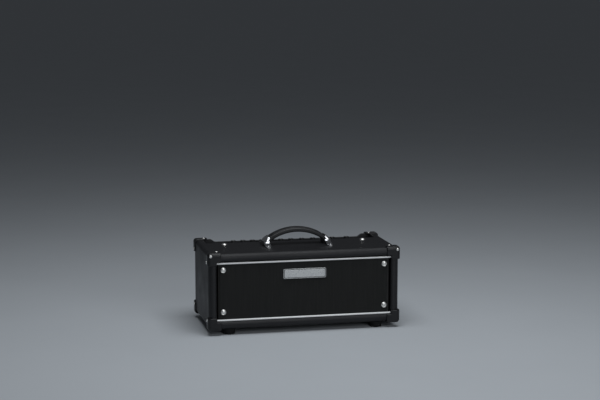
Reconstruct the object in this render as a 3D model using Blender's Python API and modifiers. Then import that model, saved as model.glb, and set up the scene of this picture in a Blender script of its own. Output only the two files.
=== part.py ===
"""Guitar amp head: a covered board cabinet with a recessed control panel along its rear top edge.

Metres, +Z up. The front faces -Y and the right-hand end is +X. The origin is on the floor, under the
centre of the cabinet. Each sub-part is one object with its own material, and each moving piece has its
origin on its joint's axis.
"""

import math

import bmesh
import bpy
from mathutils import Matrix, Vector

# Overall sizes
CABINET_HALF_WIDTH = 0.2325
CABINET_HALF_DEPTH = 0.1115
CABINET_BASE = 0.0142
CABINET_TOP = 0.197
BOARD = 0.0195
EDGE_RADIUS = 0.010
EDGE_STEPS = 3
RECESS_LIP_RADIUS = 0.005
GAP = 0.0003

# Places inside the board frame
INNER_HALF_WIDTH = CABINET_HALF_WIDTH - BOARD
INNER_BASE = CABINET_BASE + BOARD
INNER_TOP = CABINET_TOP - BOARD
FRAME_FIT = 0.0004

# Control recess and rear
RECESS_FRONT = 0.042
PANEL_TOP = 0.179
SHEET = 0.0016
REAR_PANEL_FACE = 0.099
RAIL_THICKNESS = 0.012
RAIL_BASE = 0.165
RAIL_TOP = 0.190
RAIL_SHOULDER_HIGH = 0.194
RAIL_SHOULDER_LOW = 0.182
CHASSIS_BASE = 0.093
FLOOR_SHEET = 0.0015

# Front
CLOTH_FACE = -0.1054
CLOTH_THICKNESS = 0.0016
BAFFLE_THICKNESS = 0.012
BAFFLE_REVEAL = 0.0045
BAFFLE_BACK = CLOTH_FACE + CLOTH_THICKNESS + GAP + BAFFLE_THICKNESS
BATTEN = (0.016, 0.018)
PIPING_HEIGHT = 0.0044
PIPING_DEPTH = 0.0027
PIPING_EDGE_RADIUS = 0.0012
PIPING_LEVELS = {"piping_top": 0.1730, "piping_bottom": 0.0361}
NAME_PLATE_HALF_WIDTH = 0.052
NAME_PLATE_LEVELS = (0.1305, 0.1540)
NAME_PLATE_DEPTH = 0.0025
NAME_PLATE_CORNER_RADIUS = 0.003
GRILLE_SCREW_X = 0.1970
GRILLE_SCREW_LEVELS = {"lower": 0.0557, "upper": 0.1568}
CUP_AND_HEAD = [
    (0, 0.0036), (0.0026, 0.0033), (0.0044, 0.0022), (0.0068, 0.0010), (0.0070, 0.0), (0, 0.0)
]

# Corner protectors
PROTECTOR_STAND = 0.003
PROTECTOR_EDGE_RADIUS = 0.008
PROTECTOR_LEG_X = 0.033
PROTECTOR_LEG_Y = 0.024
PROTECTOR_LEG_Z = 0.032
PROTECTOR_FLAP_RADIUS = 0.008
PROTECTOR_OPENING_RADIUS = 0.004
PROTECTOR_TRIM = 0.020

# Feet
FOOT_X = 0.181
FOOT_Y = 0.087
FOOT_RADIUS = 0.016
FOOT_TAPER = [(0.0160, 0.0090), (0.0148, 0.0012), (0.0136, 0)]
FOOT_HOLE = (0.0050, 0.0050)

# Handle
HANDLE_Y = -0.009
HANDLE_HALF_WIDTH = 0.015
HANDLE_ARC_CENTRE = 0.115
HANDLE_OUTER_RADIUS = 0.1235
HANDLE_INNER_RADIUS = 0.113
HANDLE_END_X = 0.087
HANDLE_SHOULDER_X = 0.085
HANDLE_BLOCK_X = 0.065
HANDLE_EDGE_RADIUS = 0.003
HANDLE_ARC_STEPS = 22
BRACKET_X = (0.069, 0.0755, 0.082)
BRACKET_FOOT = (0.037, 0.046)
BRACKET_WAIST_SHARE = 0.45
BRACKET_THICKNESS = 0.0016
BRACKET_LIFT = 0.0006

# Controls
KNOB_Y = 0.074
KNOB_X = {
    "knob_amp_type": -0.1405,
    "knob_gain": -0.1165,
    "knob_volume": -0.0925,
    "knob_bass": -0.0685,
    "knob_middle": -0.0445,
    "knob_treble": -0.0205,
    "knob_booster": 0.0050,
    "knob_effects": 0.0330,
    "knob_reverb": 0.0610,
    "knob_presence": 0.0860,
    "knob_master": 0.1110,
    "knob_power_control": 0.1480,
}
KNOB_RADIUS = 0.008
SHAFT_RADIUS = 0.003
SHAFT_CLEARANCE = 0.0006
KNOB_HEIGHT = 0.0165
KNOB_STAND = 0.0005
SHAFT_REACH = 0.0080
BUTTON_Y = 0.055
BUTTON_FIRST_X = 0.068
BUTTON_PITCH = 0.016
BUTTON_NAMES = ("button_channel_1", "button_channel_2", "button_channel_3", "button_tap")
BUTTON_SIZE = (0.007, 0.005, 0.012)
BUTTON_CLEARANCE = 0.0004
BUTTON_EDGE_RADIUS = 0.0006
BUTTON_TOP = 0.1836
ROCKER_PLACE = (0.187, KNOB_Y, 0.178)
ROCKER_WIDTH = 0.012
ROCKER_HALF_LENGTH = 0.0095
ROCKER_TILT = math.radians(6)
ROCKER_CLEARANCE = (0.0006, 0.0012)
ROCKER_BELOW = 0.0050
ROCKER_END_RISE = 0.0055
ROCKER_DIP_RISE = 0.0032
INPUT_JACK_X = -0.180
JACK_HOLE_RADIUS = 0.0058
JACK_SIDES = 12
REAR_JACK_LEVEL = 0.135
REAR_JACK_X = {"jack_foot_switch": -0.110, "jack_line_out": -0.060, "jack_speaker_out": 0.070}
INLET_PLACE = (0.165, REAR_PANEL_FACE, 0.135)
INLET_BODY = (0.0274, 0.0194)
INLET_POCKET = (0.0240, 0.0160)
INLET_FLANGE = (0.024, 0.0115)
INLET_FLANGE_PROUD = 0.0022
INLET_FLANGE_CORNER_RADIUS = 0.005
INLET_BODY_DEPTH = 0.0220
INLET_POCKET_DEPTH = 0.0160

# Inside
SPEAKER_PLACE = (-0.105, CLOTH_FACE + CLOTH_THICKNESS + BAFFLE_THICKNESS + 2 * GAP, 0.1035)
SPEAKER_HOLE_RADIUS = 0.052
POT_RADIUS = 0.008
CONTROL_BOARD_LEVEL = 0.155
POT_TOP = 0.1695
HEAT_SINK_LEVELS = (0.101, 0.142)
TRANSFORMER_TOP = 0.0875
WINDING_TOP = 0.0760
VENT_BASE = 0.0464
VENT_SIZE = (0.0036, 0.034)
VENT_COLUMNS = 18
VENT_PITCH = 0.020
BOARD_CORNERS = ((-0.155, 0.047), (0.160, 0.093))
BOARD_SHEET = 0.0016
HEAT_SINK_START = -0.150
HEAT_SINK_Y = (0.046, 0.074)
FIN_COUNT = 10
FIN_PITCH = 0.011
FIN = 0.003
TRANSFORMER_CORE = ((0.095, 0.025), (0.165, 0.055))
WINDING = ((0.108, 0.012), (0.152, 0.068))
WINDING_STAND = 0.010
WINDING_CORNER_RADIUS = 0.006

SPEAKER_BASKET = [
    (0, -0.034),
    (0.016, -0.034),
    (0.052, -0.004),
    (0.052, 0),
    (0.066, 0),
    (0.066, -0.003),
    (0.056, -0.005),
    (0.024, -0.038),
    (0.036, -0.038),
    (0.036, -0.058),
    (0, -0.058),
]
CONE_SECTION = [
    (0, -0.0170),
    (0.0080, -0.0180),
    (0.0120, -0.0220),
    (0.0475, -0.0018),
    (0.0490, -0.0018),
    (0.0490, -0.0033),
    (0.0475, -0.0033),
    (0.0120, -0.0240),
    (0, -0.0240),
]

# Finishes: colour, roughness, metallic
COVERING = ((0.020, 0.020, 0.022), 0.62, 0.0)
CLOTH = ((0.016, 0.017, 0.016), 0.90, 0.0)
BLACK_WOOD = ((0.030, 0.028, 0.026), 0.80, 0.0)
SILVER_PIPING = ((0.720, 0.720, 0.710), 0.35, 0.2)
CHROME = ((0.750, 0.750, 0.760), 0.12, 1.0)
MOULDED_BLACK = ((0.014, 0.014, 0.015), 0.42, 0.0)
HANDLE_BLACK = ((0.012, 0.012, 0.013), 0.45, 0.0)
RUBBER = ((0.010, 0.010, 0.010), 0.85, 0.0)
BLACK_STEEL = ((0.018, 0.018, 0.019), 0.50, 0.3)
PLATED_STEEL = ((0.450, 0.450, 0.440), 0.35, 1.0)
CIRCUIT_BOARD = ((0.020, 0.110, 0.050), 0.50, 0.0)
CONE_PAPER = ((0.030, 0.030, 0.032), 0.90, 0.0)

for old in list(bpy.data.objects):
    bpy.data.objects.remove(old, do_unlink=True)

PARTS = bpy.data.collections.new("guitar_amp_head")
CUTTERS = bpy.data.collections.new("cutters")
for collection in (PARTS, CUTTERS):
    bpy.context.scene.collection.children.link(collection)


def add_part(name, bm, finish, place=(0, 0, 0), turn=(0, 0, 0)):
    """A visible sub-part from a bmesh, with its own material."""
    mesh = bpy.data.meshes.new(name)
    bm.to_mesh(mesh)
    bm.free()
    colour, roughness, metallic = finish
    material = bpy.data.materials.new(name)
    material.use_nodes = True
    shader = material.node_tree.nodes["Principled BSDF"]
    shader.inputs["Base Color"].default_value = (*colour, 1)
    shader.inputs["Roughness"].default_value = roughness
    shader.inputs["Metallic"].default_value = metallic
    mesh.materials.append(material)
    part = bpy.data.objects.new(name, mesh)
    part.location = place
    part.rotation_euler = turn
    PARTS.objects.link(part)
    return part


def add_cutter(name, bm):
    """A hidden shape that Boolean modifiers read."""
    mesh = bpy.data.meshes.new(name)
    bm.to_mesh(mesh)
    bm.free()
    cutter = bpy.data.objects.new(name, mesh)
    cutter.hide_render = True
    cutter.display_type = "WIRE"
    CUTTERS.objects.link(cutter)
    return cutter


def combine(part, other, operation="DIFFERENCE"):
    modifier = part.modifiers.new(operation.title(), "BOOLEAN")
    modifier.operation = operation
    modifier.solver = "EXACT"
    modifier.object = other


def add_box(bm, low, high):
    """A box between two corners, added to a bmesh."""
    low, high = Vector(low), Vector(high)
    placed = Matrix.Translation((low + high) / 2) @ Matrix.Diagonal((*(high - low), 1))
    bmesh.ops.create_cube(bm, size=1, matrix=placed)


def box(low, high):
    bm = bmesh.new()
    add_box(bm, low, high)
    return bm


def add_cylinder(bm, centre, radius, depth, sides, axis="Z"):
    turn = {"Y": Matrix.Rotation(math.pi / 2, 4, "X"), "Z": Matrix.Identity(4)}[axis]
    bmesh.ops.create_cone(
        bm, cap_ends=True, segments=sides, radius1=radius, radius2=radius, depth=depth,
        matrix=Matrix.Translation(centre) @ turn,
    )


def round_edges(bm, radius, steps, wanted=lambda a, b: True):
    """Rounds the edges whose two ends pass the test."""
    edges = [edge for edge in bm.edges if wanted(edge.verts[0].co, edge.verts[1].co)]
    bmesh.ops.bevel(
        bm, geom=edges, offset=radius, segments=steps, profile=0.5, affect="EDGES", clamp_overlap=False
    )


def extruded(outline, plane, start, end):
    """A solid from an outline of 2D points, in the plane XZ or YZ, between two places on the third axis."""
    bm = bmesh.new()
    if plane == "XZ":
        corners = [Vector((a, start, b)) for a, b in outline]
        push = Vector((0, end - start, 0))
    else:
        corners = [Vector((start, a, b)) for a, b in outline]
        push = Vector((end - start, 0, 0))
    face = bm.faces.new([bm.verts.new(corner) for corner in corners])
    grown = bmesh.ops.extrude_face_region(bm, geom=[face])
    moved = [item for item in grown["geom"] if isinstance(item, bmesh.types.BMVert)]
    bmesh.ops.translate(bm, vec=push, verts=moved)
    bmesh.ops.recalc_face_normals(bm, faces=bm.faces)
    return bm


def turned(name, profile, finish, place, steps, turn=(0, 0, 0)):
    """A turned piece: (radius, height) points from the top, down the outside, to the bottom."""
    bm = bmesh.new()
    points = [bm.verts.new((radius, 0, height)) for radius, height in profile]
    for first, second in zip(points, points[1:]):
        bm.edges.new((first, second))
    part = add_part(name, bm, finish, place, turn)
    screw = part.modifiers.new("Turn", "SCREW")
    screw.steps = steps
    screw.render_steps = steps
    screw.use_merge_vertices = True
    screw.merge_threshold = 0.00001
    screw.use_smooth_shade = True
    return part


FACING_FRONT = (math.pi / 2, 0, 0)
FACING_REAR = (-math.pi / 2, 0, 0)


def build_sides():
    """Two end boards, rounded on the outer face's rim, each with the batten that the baffle is screwed to."""
    for name, side in (("cabinet_left_side", -1), ("cabinet_right_side", 1)):
        ends = sorted((side * INNER_HALF_WIDTH, side * CABINET_HALF_WIDTH))
        low = (ends[0], -CABINET_HALF_DEPTH, CABINET_BASE)
        high = (ends[1], CABINET_HALF_DEPTH, CABINET_TOP)
        bm = box(low, high)

        def outside(a, b):
            on_outer_face = min(side * a.x, side * b.x) > INNER_HALF_WIDTH + GAP
            across = abs(a.x - b.x) > GAP
            return on_outer_face or across

        round_edges(bm, EDGE_RADIUS, EDGE_STEPS, outside)
        board = add_part(name, bm, COVERING)
        ends = sorted((side * (INNER_HALF_WIDTH - BATTEN[0]), side * (INNER_HALF_WIDTH + BOARD / 2)))
        low = (ends[0], BAFFLE_BACK + GAP, INNER_BASE + FRAME_FIT)
        high = (ends[1], BAFFLE_BACK + GAP + BATTEN[1], INNER_TOP - FRAME_FIT)
        combine(board, add_cutter(f"{name}_batten", box(low, high)), "UNION")


def build_top_and_bottom():
    reach = INNER_HALF_WIDTH - GAP
    bm = box((-reach, -CABINET_HALF_DEPTH, INNER_TOP), (reach, RECESS_FRONT, CABINET_TOP))
    front = -CABINET_HALF_DEPTH + GAP
    high = CABINET_TOP - GAP
    round_edges(bm, EDGE_RADIUS, EDGE_STEPS, lambda a, b: max(a.y, b.y) < front and min(a.z, b.z) > high)
    rear = RECESS_FRONT - GAP
    round_edges(
        bm, RECESS_LIP_RADIUS, 2, lambda a, b: min(a.y, b.y) > rear and min(a.z, b.z) > high
    )
    add_part("cabinet_top", bm, COVERING)

    bm = box((-reach, -CABINET_HALF_DEPTH, CABINET_BASE), (reach, CABINET_HALF_DEPTH, INNER_BASE))
    low = CABINET_BASE + GAP
    round_edges(
        bm, EDGE_RADIUS, EDGE_STEPS, lambda a, b: max(a.z, b.z) < low and abs(a.x - b.x) > BOARD
    )
    add_part("cabinet_bottom", bm, COVERING)


def build_rear_rail():
    """The low rail behind the controls, which rises to the cabinet's full height at both ends."""
    reach = INNER_HALF_WIDTH - GAP
    half = [
        (reach, RAIL_BASE),
        (reach, CABINET_TOP),
        (RAIL_SHOULDER_HIGH, CABINET_TOP),
        (RAIL_SHOULDER_LOW, RAIL_TOP),
    ]
    outline = half + [(-x, z) for x, z in reversed(half)]
    bm = extruded(outline, "XZ", CABINET_HALF_DEPTH - RAIL_THICKNESS, CABINET_HALF_DEPTH)
    rear = CABINET_HALF_DEPTH - GAP
    upper = RAIL_TOP - GAP
    round_edges(bm, EDGE_RADIUS, EDGE_STEPS, lambda a, b: min(a.y, b.y) > rear and min(a.z, b.z) > upper)
    add_part("cabinet_rear_rail", bm, COVERING)


def build_front():
    """Baffle, grille cloth, two piping strips, a blank name plate and four screws in cup washers."""
    reach = INNER_HALF_WIDTH - FRAME_FIT
    cloth_reach = INNER_HALF_WIDTH - BAFFLE_REVEAL
    low, high = INNER_BASE + FRAME_FIT, INNER_TOP - FRAME_FIT
    cloth_back = CLOTH_FACE + CLOTH_THICKNESS
    cloth = box((-cloth_reach, CLOTH_FACE, low), (cloth_reach, cloth_back, high))
    add_part("grille_cloth", cloth, CLOTH)

    baffle_front = cloth_back + GAP
    board = box((-cloth_reach, baffle_front, low), (cloth_reach, BAFFLE_BACK, high))
    baffle = add_part("front_baffle", board, BLACK_WOOD)
    hole = bmesh.new()
    centre = (SPEAKER_PLACE[0], (baffle_front + BAFFLE_BACK) / 2, SPEAKER_PLACE[2])
    add_cylinder(hole, centre, SPEAKER_HOLE_RADIUS, 3 * BAFFLE_THICKNESS, 32, "Y")
    combine(baffle, add_cutter("speaker_hole", hole))

    on_cloth = CLOTH_FACE - GAP
    for name, level in PIPING_LEVELS.items():
        bm = box(
            (-reach, on_cloth - PIPING_DEPTH, level - PIPING_HEIGHT / 2),
            (reach, on_cloth, level + PIPING_HEIGHT / 2),
        )
        round_edges(
            bm, PIPING_EDGE_RADIUS, 2,
            lambda a, b: max(a.y, b.y) < on_cloth - GAP and abs(a.x - b.x) > BOARD,
        )
        add_part(name, bm, SILVER_PIPING)

    plate = box(
        (-NAME_PLATE_HALF_WIDTH, on_cloth - NAME_PLATE_DEPTH, NAME_PLATE_LEVELS[0]),
        (NAME_PLATE_HALF_WIDTH, on_cloth, NAME_PLATE_LEVELS[1]),
    )
    round_edges(plate, NAME_PLATE_CORNER_RADIUS, 3, lambda a, b: abs(a.y - b.y) > GAP)
    add_part("name_plate", plate, SILVER_PIPING)

    for side_name, side in (("left", -1), ("right", 1)):
        for level_name, level in GRILLE_SCREW_LEVELS.items():
            place = (side * GRILLE_SCREW_X, on_cloth, level)
            name = f"grille_screw_{level_name}_{side_name}"
            turned(name, CUP_AND_HEAD, CHROME, place, 16, FACING_FRONT)


def grown_block(stand, radius):
    """The cabinet's outer block, grown on every side, with its edges rounded."""
    half_width, half_depth = CABINET_HALF_WIDTH + stand, CABINET_HALF_DEPTH + stand
    low = (-half_width, -half_depth, CABINET_BASE - stand)
    bm = box(low, (half_width, half_depth, CABINET_TOP + stand))
    round_edges(bm, radius, EDGE_STEPS)
    return bm


def build_protectors():
    """Eight moulded corners: the shell between two grown blocks, trimmed by a rounded box at each corner.

    The front and rear flaps follow the ends of the boards and leave the openings between them free.
    """
    outer = add_cutter("protector_outside", grown_block(PROTECTOR_STAND, PROTECTOR_EDGE_RADIUS))
    inner = add_cutter("protector_inside", grown_block(GAP, EDGE_RADIUS + GAP))
    through = CABINET_HALF_DEPTH + 2 * BOARD
    frame_opening = box((-INNER_HALF_WIDTH, -through, INNER_BASE), (INNER_HALF_WIDTH, through, INNER_TOP))
    round_edges(frame_opening, PROTECTOR_OPENING_RADIUS, EDGE_STEPS, lambda a, b: abs(a.y - b.y) > through)
    opening = add_cutter("protector_opening", frame_opening)
    far_x = CABINET_HALF_WIDTH + PROTECTOR_STAND
    far_y = CABINET_HALF_DEPTH + PROTECTOR_STAND
    bottom = CABINET_BASE - PROTECTOR_STAND
    top = CABINET_TOP + PROTECTOR_STAND
    levels = {
        "lower": (bottom - PROTECTOR_TRIM, bottom + PROTECTOR_LEG_Z),
        "upper": (top - PROTECTOR_LEG_Z, top + PROTECTOR_TRIM),
    }
    for x_name, x_side in (("left", -1), ("right", 1)):
        x_ends = sorted((x_side * (far_x - PROTECTOR_LEG_X), x_side * (far_x + PROTECTOR_TRIM)))
        for y_name, y_side in (("front", -1), ("rear", 1)):
            y_ends = sorted((y_side * (far_y - PROTECTOR_LEG_Y), y_side * (far_y + PROTECTOR_TRIM)))
            for z_name, z_ends in levels.items():
                bm = box((x_ends[0], y_ends[0], z_ends[0]), (x_ends[1], y_ends[1], z_ends[1]))
                round_edges(bm, PROTECTOR_FLAP_RADIUS, EDGE_STEPS)
                corner = add_part(f"corner_{y_name}_{z_name}_{x_name}", bm, MOULDED_BLACK)
                combine(corner, outer, "INTERSECT")
                combine(corner, inner)
                combine(corner, opening)


def build_feet():
    """Four rubber feet, each with a sunk screw hole in its sole."""
    top = CABINET_BASE - GAP
    hole_radius, hole_depth = FOOT_HOLE
    profile = [(0, top), (FOOT_RADIUS, top)] + FOOT_TAPER
    profile += [(hole_radius, 0), (hole_radius, hole_depth), (0, hole_depth)]
    for x_name, x_side in (("left", -1), ("right", 1)):
        for y_name, y_side in (("front", -1), ("rear", 1)):
            place = (x_side * FOOT_X, y_side * FOOT_Y, 0)
            turned(f"foot_{y_name}_{x_name}", profile, RUBBER, place, 20)


def strap_top(x):
    """Height of the strap's upper surface at a distance from the handle's middle."""
    return HANDLE_ARC_CENTRE + math.sqrt(HANDLE_OUTER_RADIUS**2 - x**2)


def build_handle():
    """An arched moulded strap whose ends are held down by two bent metal brackets."""
    base = CABINET_TOP + GAP
    steps = HANDLE_ARC_STEPS
    outer_end = math.asin(HANDLE_SHOULDER_X / HANDLE_OUTER_RADIUS)
    inner_end = math.asin(HANDLE_BLOCK_X / HANDLE_INNER_RADIUS)

    def arc(radius, end):
        angles = [end * (2 * step / steps - 1) for step in range(steps + 1)]
        return [(radius * math.sin(angle), HANDLE_ARC_CENTRE + radius * math.cos(angle)) for angle in angles]

    outline = [(-HANDLE_END_X, base)] + arc(HANDLE_OUTER_RADIUS, outer_end) + [(HANDLE_END_X, base)]
    outline += [(HANDLE_BLOCK_X, base)] + arc(HANDLE_INNER_RADIUS, inner_end)[::-1]
    outline += [(-HANDLE_BLOCK_X, base)]
    near, far = HANDLE_Y - HANDLE_HALF_WIDTH, HANDLE_Y + HANDLE_HALF_WIDTH
    bm = extruded(outline, "XZ", near, far)
    round_edges(
        bm, HANDLE_EDGE_RADIUS, 2, lambda a, b: abs(a.y - b.y) < GAP and max(a.z, b.z) > base + GAP
    )
    add_part("handle_strap", bm, HANDLE_BLACK)

    for name, side in (("handle_bracket_left", -1), ("handle_bracket_right", 1)):
        bm = bmesh.new()
        rows = []
        for x in BRACKET_X:
            top = strap_top(x) + BRACKET_LIFT
            waist = base + BRACKET_WAIST_SHARE * (top - base)
            beside = HANDLE_HALF_WIDTH + 2 * GAP
            near_foot, far_foot = BRACKET_FOOT
            half = [(far_foot, base), (near_foot, base), (beside + BRACKET_THICKNESS, waist)]
            half += [(beside, top - HANDLE_EDGE_RADIUS), (beside - HANDLE_EDGE_RADIUS, top)]
            profile = half + [(-y, z) for y, z in reversed(half)]
            rows.append([bm.verts.new((side * x, HANDLE_Y + y, z)) for y, z in profile])
        for row, following in zip(rows, rows[1:]):
            for index in range(len(row) - 1):
                bm.faces.new((row[index], row[index + 1], following[index + 1], following[index]))
        if side > 0:
            bmesh.ops.reverse_faces(bm, faces=bm.faces)
        bracket = add_part(name, bm, CHROME)
        thick = bracket.modifiers.new("Thickness", "SOLIDIFY")
        thick.thickness = BRACKET_THICKNESS
        thick.offset = -1


def panel_holes():
    """One cutter for every hole in the control panel."""
    bm = bmesh.new()
    depth = 4 * SHEET
    for x in KNOB_X.values():
        add_cylinder(bm, (x, KNOB_Y, PANEL_TOP), SHAFT_RADIUS + SHAFT_CLEARANCE, depth, 12)
    add_cylinder(bm, (INPUT_JACK_X, KNOB_Y, PANEL_TOP), JACK_HOLE_RADIUS, depth, 16)
    for index in range(len(BUTTON_NAMES)):
        x = BUTTON_FIRST_X + index * BUTTON_PITCH
        half = (BUTTON_SIZE[0] / 2 + BUTTON_CLEARANCE, BUTTON_SIZE[1] / 2 + BUTTON_CLEARANCE)
        low = (x - half[0], BUTTON_Y - half[1], PANEL_TOP - depth / 2)
        add_box(bm, low, (x + half[0], BUTTON_Y + half[1], PANEL_TOP + depth / 2))
    half_width = ROCKER_WIDTH / 2 + ROCKER_CLEARANCE[0]
    half_length = ROCKER_HALF_LENGTH + ROCKER_CLEARANCE[1]
    x, y, _ = ROCKER_PLACE
    add_box(
        bm,
        (x - half_width, y - half_length, PANEL_TOP - depth / 2),
        (x + half_width, y + half_length, PANEL_TOP + depth / 2),
    )
    return bm


def build_chassis():
    """Control panel, rear panel, chassis floor and the vented rear cover."""
    reach = INNER_HALF_WIDTH - FRAME_FIT
    front = RECESS_FRONT + GAP
    rear_low = REAR_PANEL_FACE - SHEET
    panel = box((-reach, front, PANEL_TOP - SHEET), (reach, REAR_PANEL_FACE + GAP / 2, PANEL_TOP))
    panel = add_part("control_panel", panel, BLACK_STEEL)
    combine(panel, add_cutter("control_panel_holes", panel_holes()))

    top = PANEL_TOP - SHEET - GAP
    rear = add_part(
        "rear_panel", box((-reach, rear_low, CHASSIS_BASE), (reach, REAR_PANEL_FACE, top)), BLACK_STEEL
    )
    holes = bmesh.new()
    for x in REAR_JACK_X.values():
        add_cylinder(holes, (x, REAR_PANEL_FACE, REAR_JACK_LEVEL), JACK_HOLE_RADIUS, 4 * SHEET, 16, "Y")
    x, y, z = INLET_PLACE
    half = (INLET_BODY[0] / 2 + GAP, INLET_BODY[1] / 2 + GAP)
    add_box(holes, (x - half[0], y - 2 * SHEET, z - half[1]), (x + half[0], y + 2 * SHEET, z + half[1]))
    combine(rear, add_cutter("rear_panel_holes", holes))

    floor = box((-reach, front, CHASSIS_BASE), (reach, rear_low - GAP, CHASSIS_BASE + FLOOR_SHEET))
    add_part("chassis_floor", floor, PLATED_STEEL)

    cover = add_part(
        "rear_cover",
        box((-reach, rear_low, INNER_BASE + FRAME_FIT), (reach, REAR_PANEL_FACE, CHASSIS_BASE - GAP)),
        BLACK_STEEL,
    )
    slots = bmesh.new()
    slot_half_width, slot_height = VENT_SIZE[0] / 2, VENT_SIZE[1]
    for column in range(VENT_COLUMNS):
        x = (column - (VENT_COLUMNS - 1) / 2) * VENT_PITCH
        add_box(
            slots,
            (x - slot_half_width, rear_low - SHEET, VENT_BASE),
            (x + slot_half_width, REAR_PANEL_FACE + SHEET, VENT_BASE + slot_height),
        )
    combine(cover, add_cutter("rear_cover_slots", slots))


def build_controls():
    """Knobs on their shafts, push buttons, the power rocker and the jacks."""
    profile = [
        (0, KNOB_HEIGHT),
        (0.0062, KNOB_HEIGHT),
        (0.0068, KNOB_HEIGHT - 0.0008),
        (0.0072, 0.0035),
        (KNOB_RADIUS, 0.0025),
        (KNOB_RADIUS, KNOB_STAND),
        (SHAFT_RADIUS, KNOB_STAND),
        (SHAFT_RADIUS, -SHAFT_REACH),
        (0, -SHAFT_REACH),
    ]
    for name, x in KNOB_X.items():
        turned(name, profile, MOULDED_BLACK, (x, KNOB_Y, PANEL_TOP), 16)

    width, length, depth = BUTTON_SIZE
    for index, name in enumerate(BUTTON_NAMES):
        bm = box((-width / 2, -length / 2, -depth), (width / 2, length / 2, 0))
        round_edges(bm, BUTTON_EDGE_RADIUS, 1, lambda a, b: min(a.z, b.z) > -GAP)
        add_part(name, bm, MOULDED_BLACK, (BUTTON_FIRST_X + index * BUTTON_PITCH, BUTTON_Y, BUTTON_TOP))

    outline = [
        (-ROCKER_HALF_LENGTH, -ROCKER_BELOW),
        (ROCKER_HALF_LENGTH, -ROCKER_BELOW),
        (ROCKER_HALF_LENGTH, ROCKER_END_RISE),
        (0, ROCKER_DIP_RISE),
        (-ROCKER_HALF_LENGTH, ROCKER_END_RISE),
    ]
    rocker = extruded(outline, "YZ", -ROCKER_WIDTH / 2, ROCKER_WIDTH / 2)
    add_part("power_rocker", rocker, MOULDED_BLACK, ROCKER_PLACE, (-ROCKER_TILT, 0, 0))

    jack = [
        (0, -0.0200),
        (0.00335, -0.0200),
        (0.00335, 0.0030),
        (0.0070, 0.0030),
        (0.0075, 0.0025),
        (0.0075, GAP),
        (0.0054, GAP),
        (0.0054, -SHEET - GAP),
        (0.0085, -SHEET - GAP),
        (0.0085, -0.0220),
        (0, -0.0220),
    ]
    turned("input_jack", jack, PLATED_STEEL, (INPUT_JACK_X, KNOB_Y, PANEL_TOP), JACK_SIDES)
    for name, x in REAR_JACK_X.items():
        turned(name, jack, PLATED_STEEL, (x, REAR_PANEL_FACE, REAR_JACK_LEVEL), JACK_SIDES, FACING_REAR)


def build_inlet():
    """The mains inlet: a flange outside the rear panel, a body through it and an open pocket."""
    x, y, z = INLET_PLACE
    half = INLET_FLANGE
    flange = box((x - half[0], y + GAP, z - half[1]), (x + half[0], y + INLET_FLANGE_PROUD, z + half[1]))
    round_edges(flange, INLET_FLANGE_CORNER_RADIUS, 2, lambda a, b: abs(a.y - b.y) > GAP)
    inlet = add_part("ac_inlet", flange, MOULDED_BLACK)
    half = (INLET_BODY[0] / 2, INLET_BODY[1] / 2)
    middle = y + INLET_FLANGE_PROUD / 2
    body = box((x - half[0], y - INLET_BODY_DEPTH, z - half[1]), (x + half[0], middle, z + half[1]))
    combine(inlet, add_cutter("inlet_body", body), "UNION")
    half = (INLET_POCKET[0] / 2, INLET_POCKET[1] / 2)
    outside = y + 2 * INLET_FLANGE_PROUD
    pocket = box((x - half[0], y - INLET_POCKET_DEPTH, z - half[1]), (x + half[0], outside, z + half[1]))
    combine(inlet, add_cutter("inlet_pocket", pocket))


def build_speaker():
    """The small monitor speaker behind the baffle: a basket with its magnet, and the cone that moves."""
    turned("speaker_frame", SPEAKER_BASKET, BLACK_STEEL, SPEAKER_PLACE, 28, FACING_FRONT)
    turned("speaker_cone", CONE_SECTION, CONE_PAPER, SPEAKER_PLACE, 28, FACING_FRONT)


def build_electronics():
    """Control board with its pots, power amplifier with its heat sink, and the mains transformer."""
    near, far = BOARD_CORNERS
    sheet = box((*near, CONTROL_BOARD_LEVEL), (*far, CONTROL_BOARD_LEVEL + BOARD_SHEET))
    board = add_part("control_board", sheet, CIRCUIT_BOARD)
    pots = bmesh.new()
    low = CONTROL_BOARD_LEVEL + BOARD_SHEET / 2
    for x in KNOB_X.values():
        add_cylinder(pots, (x, KNOB_Y, (low + POT_TOP) / 2), POT_RADIUS, POT_TOP - low, 12)
    combine(board, add_cutter("pot_bodies", pots), "UNION")

    base, tip = HEAT_SINK_LEVELS
    floor = CHASSIS_BASE + FLOOR_SHEET + GAP
    start = HEAT_SINK_START
    outline = [(start, floor), (start + (FIN_COUNT - 1) * FIN_PITCH + FIN, floor)]
    for index in reversed(range(FIN_COUNT)):
        x = start + index * FIN_PITCH
        outline += [(x + FIN, tip), (x, tip)]
        if index:
            outline += [(x, base), (x - FIN_PITCH + FIN, base)]
    add_part("power_amp_heat_sink", extruded(outline, "XZ", *HEAT_SINK_Y), PLATED_STEEL)

    bottom = INNER_BASE + GAP
    near, far = TRANSFORMER_CORE
    stack = box((*near, bottom), (*far, TRANSFORMER_TOP))
    core = add_part("mains_transformer", stack, PLATED_STEEL)
    near, far = WINDING
    winding = box((*near, bottom + WINDING_STAND), (*far, WINDING_TOP))
    round_edges(winding, WINDING_CORNER_RADIUS, 2, lambda a, b: abs(a.z - b.z) > BOARD)
    combine(core, add_cutter("transformer_winding", winding), "UNION")


build_sides()
build_top_and_bottom()
build_rear_rail()
build_front()
build_protectors()
build_feet()
build_handle()
build_chassis()
build_controls()
build_inlet()
build_speaker()
build_electronics()
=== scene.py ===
"""Looks of the guitar amp head: covering, grille cloth, trim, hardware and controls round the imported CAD.

Metres, +Z up, front at -Y, in the CAD's own frame. Sizes and places come from the CAD nodes' boxes.
"""

import math

import bmesh
import bpy
from mathutils import Matrix, Vector


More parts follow.
